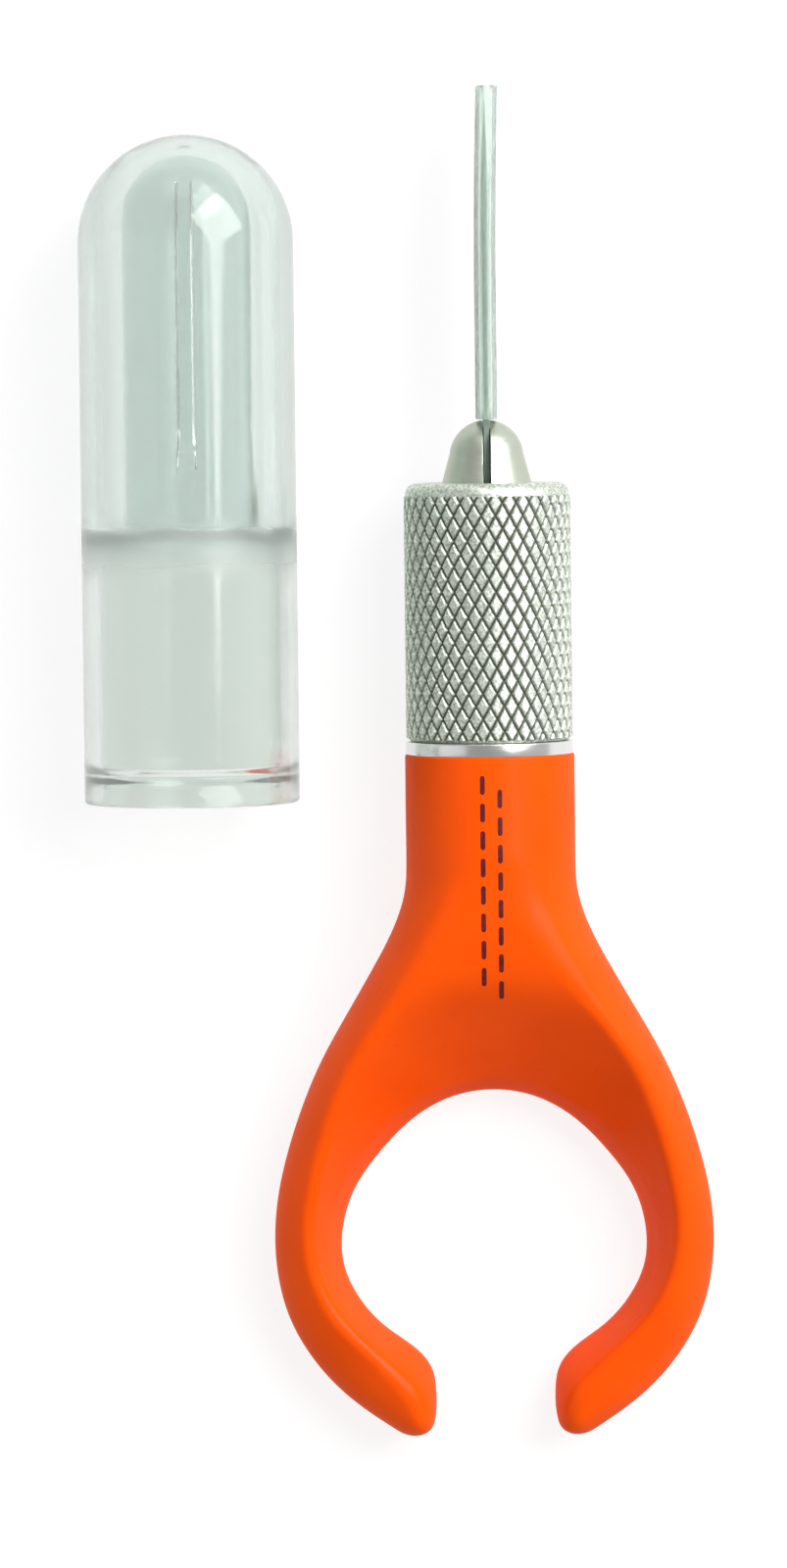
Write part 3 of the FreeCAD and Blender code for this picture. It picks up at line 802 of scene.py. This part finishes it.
def half_thickness(y):
    """The blade thins to a needle point over its last few millimetres."""
    tip = along("blade")[1]
    t = min(max((tip - y) / POINT_TAPER, 0), 1)
    return POINT_HALF_T + (BLADE_HALF_T - POINT_HALF_T) * t


def blade(material, edge_material):
    """Steel strip with the ripper's fork, its faces ground down to every edge and sharp in the crotch."""
    outline, cutting = fork_outline()
    points = np.array(outline)
    ahead = np.roll(points, -1, axis=0) - points
    behind = points - np.roll(points, 1, axis=0)
    ahead /= np.linalg.norm(ahead, axis=1)[:, None]
    behind /= np.linalg.norm(behind, axis=1)[:, None]
    inward = np.column_stack([-(ahead + behind)[:, 1], (ahead + behind)[:, 0]])
    inward /= np.linalg.norm(inward, axis=1)[:, None]
    verts, count = [], len(outline)
    for side in (1, -1):
        for i, (y, z) in enumerate(outline):
            edge_t = CUTTING_HALF_T if i in cutting else half_thickness(y) - 0.05
            verts.append((side * max(edge_t, 0.02), y, z))
        for i, (y, z) in enumerate(outline):
            width = CUTTING_BEVEL if i in cutting else PLAIN_BEVEL
            if y > POINT_FROM_Y:
                width = min(width, 0.05 + 0.08 * (along("blade")[1] - y))
            yy, zz = (y, z) + inward[i] * width
            verts.append((side * half_thickness(yy), yy, zz))
    faces = []
    for i in range(count):
        j = (i + 1) % count
        faces.append((i, j, j + count, i + count))
        faces.append((i + 2 * count, i + 3 * count, j + 3 * count, j + 2 * count))
        faces.append((i, i + 2 * count, j + 2 * count, j))
    faces.append(tuple(range(count, 2 * count)))
    faces.append(tuple(range(4 * count - 1, 3 * count - 1, -1)))
    obj = new_object("blade_steel", verts, faces)
    bm = bmesh.new()
    bm.from_mesh(obj.data)
    bmesh.ops.triangulate(bm, faces=[f for f in bm.faces if len(f.verts) > 4])
    bm.to_mesh(obj.data)
    bm.free()
    finish_mesh(obj, 20, material)
    paint_faces(obj, edge_material, lambda f: abs(f.normal.x) < 0.3)
    return obj


SLEEVE_LEAN = -0.24               # how far its open end leans towards the cap
SLEEVE_BOW_FROM_Y = 36
SLEEVE_BOW_POWER = 1.4
SLEEVE_BORE = (0.75, 5.0)


def flat_loop(thickness, width, y, shift, steps=10):
    """Ring of points round a flat tube's section."""
    r = thickness / 2
    z = width / 2 - r
    loop = []
    for centre, start in ((z, 0), (-z, 180)):
        for i in range(steps + 1):
            a = math.radians(start + 180 * i / steps)
            loop.append((shift + r * math.cos(a), y, centre + r * math.sin(a)))
    return loop


def blade_sleeve(material):
    """Clear flattened tube over the blade, cut square at its open end and very slightly bowed."""
    low, high = along("blade_sleeve")
    corner_low, corner_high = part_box("blade_sleeve")
    thick = (corner_high.x - corner_low.x) / MM
    wide = (corner_high.z - corner_low.z) / MM
    bore_t, bore_w = SLEEVE_BORE
    rows = np.linspace(low, high, 25)
    places = [(thick - 0.06, wide - 0.06, low)]
    places += [(thick, wide, y) for y in [low + 0.05] + list(rows[1:-1]) + [high - 0.05]]
    places += [(thick - 0.08, wide - 0.08, high), (bore_t + 0.08, bore_w + 0.08, high)]
    places += [(bore_t, bore_w, y) for y in [high - 0.05] + list(rows[-2:0:-1]) + [low + 0.05]]
    places += [(bore_t + 0.06, bore_w + 0.06, low)]
    points, faces = [], []
    for t, w, y in places:
        bow = min(max((y - SLEEVE_BOW_FROM_Y) / (high - SLEEVE_BOW_FROM_Y), 0), 1)
        shift = -SLEEVE_LEAN * bow ** SLEEVE_BOW_POWER
        points += flat_loop(t, w, y, shift)
    n = len(flat_loop(1, 4, 0, 0))
    total = len(places)
    for row in range(total):
        for i in range(n):
            a, b = row * n, ((row + 1) % total) * n
            j = (i + 1) % n
            faces.append((a + i, a + j, b + j, b + i))
    obj = new_object("sleeve_clear", points, faces)
    return finish_mesh(obj, 50, material)


# ---- cap
CAP_BORE_R = 6.5
CAP_GUIDE_R = 4.55
CAP_GUIDE_TOP = 42.7
CAP_STEP_Y = 14.6
CAP_BEAD = (6.15, -1.1, 0.6)
CAP_LIP_ROUND = 0.25
RIB_HALF_W = 0.575
RIB_TOP_R = 3.65
RIB_FOOT_Y = 20.8
RIB_RISE = 1.5                    # length over which a rib rises from the wall at its foot


def clear_cap(material):
    """Clear domed cap: mouth bore with a grip bead, rounded step, guide bore with a rib above and below."""
    mouth, apex = along("cap", CAP)
    r = radius_of("cap")
    outside = [(0, apex - 0.1), (0.5, apex - 0.1), (0.62, apex - 0.02)]
    outside += [p for p in arc(0, apex - r, r, 90, 0, 40) if p[0] > 0.72]
    outside += [(r, y) for y in np.linspace(apex - r, mouth + 0.3, 14)[1:]]
    outside += arc(r - CAP_LIP_ROUND, mouth + CAP_LIP_ROUND, CAP_LIP_ROUND, 0, -90, 5)
    lip = arc(CAP_BORE_R + 0.35, mouth + 0.3, 0.3, -90, -180, 5)
    bead_r, bead_y, bead_half = CAP_BEAD
    bead = [(CAP_BORE_R, bead_y - bead_half)]
    for t in np.linspace(-0.8, 0.8, 9):
        swell = math.cos(t * math.pi / 2) ** 1.5
        bead.append((CAP_BORE_R - (CAP_BORE_R - bead_r) * swell, bead_y + t * bead_half))
    bead.append((CAP_BORE_R, bead_y + bead_half))
    step = CAP_BORE_R - CAP_GUIDE_R
    inside = [(CAP_BORE_R, y) for y in np.linspace(bead_y + bead_half + 0.3, CAP_STEP_Y, 8)]
    inside += arc(CAP_GUIDE_R, CAP_STEP_Y, step, 0, 90, 14)[1:]
    guide_dome_y = CAP_GUIDE_TOP - CAP_GUIDE_R
    inside += [(CAP_GUIDE_R, CAP_STEP_Y + step + 0.35)]
    inside += [(CAP_GUIDE_R, RIB_FOOT_Y), (CAP_GUIDE_R, RIB_FOOT_Y + 0.5)]
    inside += [(CAP_GUIDE_R, y) for y in np.linspace(RIB_FOOT_Y + 1.5, guide_dome_y, 12)]
    inside += arc(0, guide_dome_y, CAP_GUIDE_R, 0, 90, 26)[1:-1] + [(0, CAP_GUIDE_TOP)]
    outline = outside + lip + bead + inside
    rib_turn = math.asin(RIB_HALF_W / CAP_GUIDE_R)
    edges = []
    for centre in (math.pi / 2, 3 * math.pi / 2):
        for off in (rib_turn * 0.82, rib_turn * 0.95, rib_turn * 1.1):
            edges += [centre - off, centre + off]
    even = [a for a in even_angles(144) if all(abs(a - e) > 0.012 for e in edges)]
    angles = sorted(even + edges)

    def ribbed(radius, y, a):
        if radius > CAP_GUIDE_R + 1e-6 or y < RIB_FOOT_Y + 0.2 or y > CAP_GUIDE_TOP:
            return radius
        off = min(abs(a - math.pi / 2), abs(a - 3 * math.pi / 2))
        if off > rib_turn:
            return radius
        top = RIB_TOP_R if off < rib_turn * 0.9 else RIB_TOP_R + 0.08
        rise = min((y - RIB_FOOT_Y) / RIB_RISE, 1)
        return min(radius, CAP_GUIDE_R + (top - CAP_GUIDE_R) * rise)

    obj = lathe("cap_clear", outline, angles, origin=CAP, radius_at=ribbed)
    return finish_mesh(obj, 35, material)


# ---- materials
def material(name, color, **inputs):
    """Principled material with plain values set on the shader's own sockets."""
    mat = bpy.data.materials.new(name)
    mat.use_nodes = True
    shader = mat.node_tree.nodes["Principled BSDF"]
    shader.inputs["Base Color"].default_value = (*color, 1)
    for key, value in inputs.items():
        shader.inputs[key.replace("_", " ").title().replace("Ior", "IOR")].default_value = value
    return mat, mat.node_tree, shader


def add(tree, kind, **settings):
    node = tree.nodes.new(kind)
    for key, value in settings.items():
        setattr(node, key, value)
    return node


def noise(tree, scale, detail=3.0, stretch=(1, 1, 1), roughness=0.5):
    """Noise in object space; scale is features per millimetre."""
    place = add(tree, "ShaderNodeTexCoord")
    mapping = add(tree, "ShaderNodeMapping")
    mapping.inputs["Scale"].default_value = [s / MM for s in stretch]
    tree.links.new(place.outputs["Object"], mapping.inputs["Vector"])
    node = add(tree, "ShaderNodeTexNoise")
    node.inputs["Scale"].default_value = scale
    node.inputs["Detail"].default_value = detail
    node.inputs["Roughness"].default_value = roughness
    tree.links.new(mapping.outputs["Vector"], node.inputs["Vector"])
    return node.outputs["Fac"]


def ramp(tree, source, stops):
    node = add(tree, "ShaderNodeValToRGB")
    elements = node.color_ramp.elements
    while len(elements) < len(stops):
        elements.new(0.5)
    for element, (place, color) in zip(elements, stops):
        element.position = place
        element.color = (*color, 1)
    tree.links.new(source, node.inputs["Fac"])
    return node.outputs["Color"]


def spread(tree, source, low, high, from_low=0.3, from_high=0.7):
    node = add(tree, "ShaderNodeMapRange")
    node.inputs["From Min"].default_value = from_low
    node.inputs["From Max"].default_value = from_high
    node.inputs["To Min"].default_value = low
    node.inputs["To Max"].default_value = high
    tree.links.new(source, node.inputs["Value"])
    return node.outputs["Result"]


def tint(tree, shader, source, stops):
    tree.links.new(ramp(tree, source, stops), shader.inputs["Base Color"])


def total(tree, first, second):
    node = add(tree, "ShaderNodeMath", operation="ADD")
    tree.links.new(first, node.inputs[0])
    tree.links.new(second, node.inputs[1])
    return node.outputs[0]


def coordinate(tree, space, axis):
    place = add(tree, "ShaderNodeTexCoord")
    split = add(tree, "ShaderNodeSeparateXYZ")
    tree.links.new(place.outputs[space], split.inputs[0])
    return split.outputs[axis]


def bump(tree, shader, source, strength, distance_mm, after=None):
    node = add(tree, "ShaderNodeBump")
    node.inputs["Strength"].default_value = strength
    node.inputs["Distance"].default_value = distance_mm * MM
    tree.links.new(source, node.inputs["Height"])
    if after is not None:
        tree.links.new(after, node.inputs["Normal"])
    tree.links.new(node.outputs["Normal"], shader.inputs["Normal"])
    return node.outputs["Normal"]


def grip_material():
    """Satin orange soft-touch moulding: a thin sheen over fine grain, faint flow and handling marks."""
    sheen = dict(specular_ior_level=0.0, coat_weight=0.2, coat_roughness=0.3)
    mat, tree, shader = material("grip_orange", (0.84, 0.077, 0.0003), roughness=0.45, **sheen)
    mottle = noise(tree, 0.22, 4)
    tint(tree, shader, mottle, [(0.3, (0.82, 0.073, 0.0003)), (0.7, (0.87, 0.081, 0.0004))])
    tree.links.new(spread(tree, noise(tree, 0.6, 5), 0.26, 0.36), shader.inputs["Coat Roughness"])
    fine = noise(tree, 9.0, 2)
    first = bump(tree, shader, fine, 0.16, 0.02)
    grain = bump(tree, shader, noise(tree, 1.1, 3), 0.1, 0.04, after=first)
    tree.links.new(grain, shader.inputs["Coat Normal"])
    return mat


def ink_material():
    """Dark maroon pad-printing ink."""
    mat, tree, shader = material("print_maroon", (0.10, 0.008, 0.012), roughness=0.5, ior=1.3)
    uneven = noise(tree, 3.0, 4)
    tint(tree, shader, uneven, [(0.35, (0.13, 0.010, 0.013)), (0.65, (0.075, 0.006, 0.010))])
    return mat


def metal(name, color, rough, grain=(1, 1, 1), grain_scale=2.0, depth=0.1, shade=0.06):
    """Bare metal with tool marks: grain stretches them along or round the piece."""
    mat, tree, shader = material(name, color, metallic=1.0, roughness=rough)
    marks = noise(tree, grain_scale, 4, grain, 0.6)
    dark = tuple(c * (1 - shade) for c in color)
    tint(tree, shader, marks, [(0.3, dark), (0.7, color)])
    tree.links.new(spread(tree, marks, rough * 0.85, rough * 1.15), shader.inputs["Roughness"])
    bump(tree, shader, marks, depth, 0.01)
    return mat


def collar_material():
    """Bright plated knurl: polished lands, duller in the grooves, with painted shade that darkens the grooves
    as they deepen.
    """
    mat, tree, shader = material("collar_plated", (0.60, 0.64, 0.56), metallic=1.0, roughness=0.2)
    groove_dull_and_shade = add(tree, "ShaderNodeAttribute", attribute_name="groove").outputs["Fac"]
    patchy = noise(tree, 4.5, 4, roughness=0.7)
    land = ramp(tree, patchy, [(0.38, (0.40, 0.45, 0.38)), (0.62, (0.88, 0.92, 0.84))])
    # painted shade: the colour is mixed from the lands' tone towards dark grey as the grooves deepen
    mix = add(tree, "ShaderNodeMix", data_type="RGBA")
    tree.links.new(spread(tree, groove_dull_and_shade, 0, 1, 0.12, 0.85), mix.inputs[0])
    tree.links.new(land, mix.inputs[6])
    # dark grey of the painted shade at the bottom of the grooves
    mix.inputs[7].default_value = (0.16, 0.175, 0.145, 1)
    tree.links.new(mix.outputs[2], shader.inputs["Base Color"])
    rough = total(tree, spread(tree, patchy, 0.55, 0.42), spread(tree, groove_dull_and_shade, 0, 0.2, 0.1, 1.0))
    tree.links.new(rough, shader.inputs["Roughness"])
    bump(tree, shader, noise(tree, 5.0, 3), 0.8, 0.045)
    return mat


def sleeve_material():
    """Clear plastic with a faint tint, a little milkiness and uneven polish."""
    tone, rough, haze = (0.90, 0.985, 0.925), 0.14, 0.05
    mat, tree, shader = material("sleeve_clear", tone, roughness=rough, ior=1.4, transmission_weight=0.9)
    streaks = noise(tree, 0.2, 2)
    pale = tuple(min(1, c * 1.02) for c in tone)
    tint(tree, shader, streaks, [(0.3, tone), (0.7, pale)])
    tree.links.new(spread(tree, streaks, rough, rough + haze), shader.inputs["Roughness"])
    return mat


def cap_material():
    """Clear greenish moulding, deeper in tint above the step, where its wall is over twice as thick."""
    thin, thick = (0.83, 0.88, 0.845), (0.75, 0.825, 0.79)
    mat, tree, shader = material("cap_clear", thin, roughness=0.1, ior=1.47, transmission_weight=0.93)
    y = coordinate(tree, "Object", "Y")
    step = CAP.y + (CAP_STEP_Y + 1.0) * MM
    depth = spread(tree, y, 0, 1, step - 1.5 * MM, step + 1.5 * MM)
    tint(tree, shader, depth, [(0.0, thin), (1.0, thick)])
    shoulder = spread(tree, y, 0, 1, step - 3.0 * MM, step + 2.0 * MM)
    none, haze = (0, 0, 0), (0.26, 0.26, 0.26)
    cloudy = ramp(tree, shoulder, [(0.0, none), (0.45, haze), (0.65, haze), (1.0, none)])
    rough = total(tree, spread(tree, noise(tree, 0.2, 2), 0.08, 0.14), cloudy)
    tree.links.new(rough, shader.inputs["Roughness"])
    return mat


def plain_plastic(name, color, rough):
    """Hidden moulded plastic with flow lines."""
    mat, tree, shader = material(name, color, roughness=rough)
    flow = noise(tree, 0.8, 4, (1, 0.4, 1))
    dark = tuple(c * 0.85 for c in color)
    tint(tree, shader, flow, [(0.3, dark), (0.7, color)])
    bump(tree, shader, flow, 0.1, 0.03)
    return mat


# ---- set
FRAME_HEIGHT_MM = 112.9           # what the whole picture's height covers, in the plane of the axes
PICTURE_X = -6.95                 # picture's middle from the tool's axis and the neck's front face
PICTURE_Y = -2.12
CAMERA_DISTANCE_MM = 620.0
CAMERA_LEAN = math.radians(3.0)   # from straight down, towards the blade's end
CAMERA_ROLL = math.radians(0.65)


def set_camera():
    """Looks almost straight down on the parts, as they were laid out side by side."""
    target = TOOL + Vector((PICTURE_X, PICTURE_Y, 0)) * MM
    back = Vector((0, math.sin(CAMERA_LEAN), math.cos(CAMERA_LEAN)))
    up = Vector((math.sin(CAMERA_ROLL), math.cos(CAMERA_ROLL), 0))
    right = up.cross(back).normalized()
    top = back.cross(right)
    data = bpy.data.cameras.new("camera")
    data.sensor_width = 36
    data.lens = data.sensor_width * CAMERA_DISTANCE_MM / FRAME_HEIGHT_MM
    data.clip_start = 0.01
    data.clip_end = 20
    camera = bpy.data.objects.new("camera", data)
    place = Matrix((right, top, back)).transposed().to_4x4()
    place.translation = target + back * CAMERA_DISTANCE_MM * MM
    camera.matrix_world = place
    bpy.context.scene.collection.objects.link(camera)
    bpy.context.scene.camera = camera


AIM = (0, 0, 0.005)               # the middle of the group, where every lamp points
ROOM_STRENGTH = 0.66
CLEAR_BOUNCES = 24
GLOSS_BOUNCES = 8


def softbox(name, place, size, power):
    data = bpy.data.lights.new(name, "AREA")
    data.shape = "RECTANGLE"
    data.size, data.size_y = size
    data.energy = power
    lamp = bpy.data.objects.new(name, data)
    lamp.location = place
    lamp.rotation_euler = (Vector(AIM) - Vector(place)).to_track_quat("-Z", "Y").to_euler()
    bpy.context.scene.collection.objects.link(lamp)


def set_lights():
    """Large soft lamps from the right and the blade's end, and a paler room all round."""
    softbox("key_right", (0.44, 0.34, 0.58), (0.6, 0.6), 9.0)
    softbox("fill_left", (-0.6, 0.0, 0.30), (0.3, 0.8), 0.3)
    softbox("far_end", (0.05, 0.6, 0.35), (0.6, 0.25), 0.6)
    world = bpy.data.worlds.new("studio")
    world.use_nodes = True
    tree = world.node_tree
    horizon, middle, overhead = (0.85, 0.87, 0.85), (0.75, 0.76, 0.75), (0.55, 0.56, 0.55)
    height = coordinate(tree, "Generated", "Z")
    shade = ramp(tree, height, [(0.0, horizon), (0.5, middle), (0.95, overhead)])
    tree.links.new(shade, tree.nodes["Background"].inputs["Color"])
    tree.nodes["Background"].inputs["Strength"].default_value = ROOM_STRENGTH
    bpy.context.scene.world = world
    bpy.context.scene.view_settings.view_transform = "Standard"


def set_light_paths():
    """Enough bounces for light to leave the clear cap and sleeve instead of going black inside."""
    cycles = bpy.context.scene.cycles
    cycles.max_bounces = CLEAR_BOUNCES
    cycles.transmission_bounces = CLEAR_BOUNCES
    cycles.glossy_bounces = GLOSS_BOUNCES


FLOOR_HALF = 4.0                  # metres
FLOOR_Z = -0.00002                # a hair under the parts, so that no faces coincide
FLOOR_GLOW = 0.84                 # lifts the card to white, as on an evenly lit table


def set_floor():
    """Plain pale card under the parts, far larger than the view."""
    corners = [(x * FLOOR_HALF, y * FLOOR_HALF, 0) for x, y in ((-1, -1), (1, -1), (1, 1), (-1, 1))]
    floor = link_mesh("floor", corners, [(0, 1, 2, 3)])
    floor.location.z = FLOOR_Z
    plain = dict(roughness=0.8, specular_ior_level=0.0, emission_strength=FLOOR_GLOW)
    mat, tree, shader = material("card", (0.18, 0.18, 0.18), **plain)
    shader.inputs["Emission Color"].default_value = (1, 1, 1, 1)
    paper = noise(tree, 0.08, 3)
    tint(tree, shader, paper, [(0.3, (0.178, 0.178, 0.178)), (0.7, (0.182, 0.182, 0.182))])
    floor.data.materials.append(mat)


def place_piece(obj, body, slot, *nodes):
    """Each piece rides on its CAD body and stands for its CAD node."""
    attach(obj, body)
    if nodes:
        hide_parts(*nodes)


def finish_cad_node(node, mat):
    """A CAD node whose shape is right keeps its mesh and gets a real material."""
    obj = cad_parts[node]
    for slot in obj.material_slots:
        slot.material = mat


def main():
    set_camera()
    set_lights()
    set_floor()
    set_light_paths()
    steel = metal("blade_ground", (0.46, 0.49, 0.46), 0.24, (1, 0.08, 1), 5.0, 0.2, 0.15)
    sheared = metal("blade_edge", (0.34, 0.42, 0.36), 0.5, (1, 0.3, 1), 5.0, 0.2, 0.2)
    # near-black metal, painted shade for the faces inside the collet's slot
    slot_shade = metal("slot_painted_shade", (0.13, 0.13, 0.11), 0.5, (1, 0.3, 1), 5.0, 0.2, 0.2)
    nickel = metal("collet_satin", (0.54, 0.58, 0.49), 0.42, (0.3, 3.0, 0.3), 3.0, 0.0, 0.08)
    polished = metal("trim_polished", (0.76, 0.77, 0.76), 0.22, (0.05, 2.0, 0.05), 2.0, 0.0, 0.04)
    brass = metal("stud_brass", (0.78, 0.58, 0.26), 0.3, (0.3, 3.0, 0.3), 3.0, 0.15)
    ground = metal("pin_ground", (0.62, 0.62, 0.61), 0.25, (1, 1, 0.2), 4.0, 0.1)
    place_piece(handle_skin(grip_material()), "handle", "grip", "handle_grip")
    place_piece(printed_stitches(ink_material()), "handle", "grip")
    place_piece(trim_ring(polished), "handle", "trim", "trim_ring")
    place_piece(threaded_stud(brass), "handle", "stud", "threaded_ferrule")
    place_piece(collet(nickel, slot_shade), "chuck_collet", "collet", "collet")
    place_piece(knurled_collar(collar_material()), "chuck_collar", "collar", "knurled_collar")
    place_piece(blade(steel, sheared), "blade", "blade", "blade")
    place_piece(blade_sleeve(sleeve_material()), "sleeve", "sleeve", "blade_sleeve")
    place_piece(clear_cap(cap_material()), "cap", "cap", "cap")
    finish_cad_node("handle_core", plain_plastic("core_grey", (0.30, 0.30, 0.31), 0.5))
    finish_cad_node("key_pin", ground)


main()
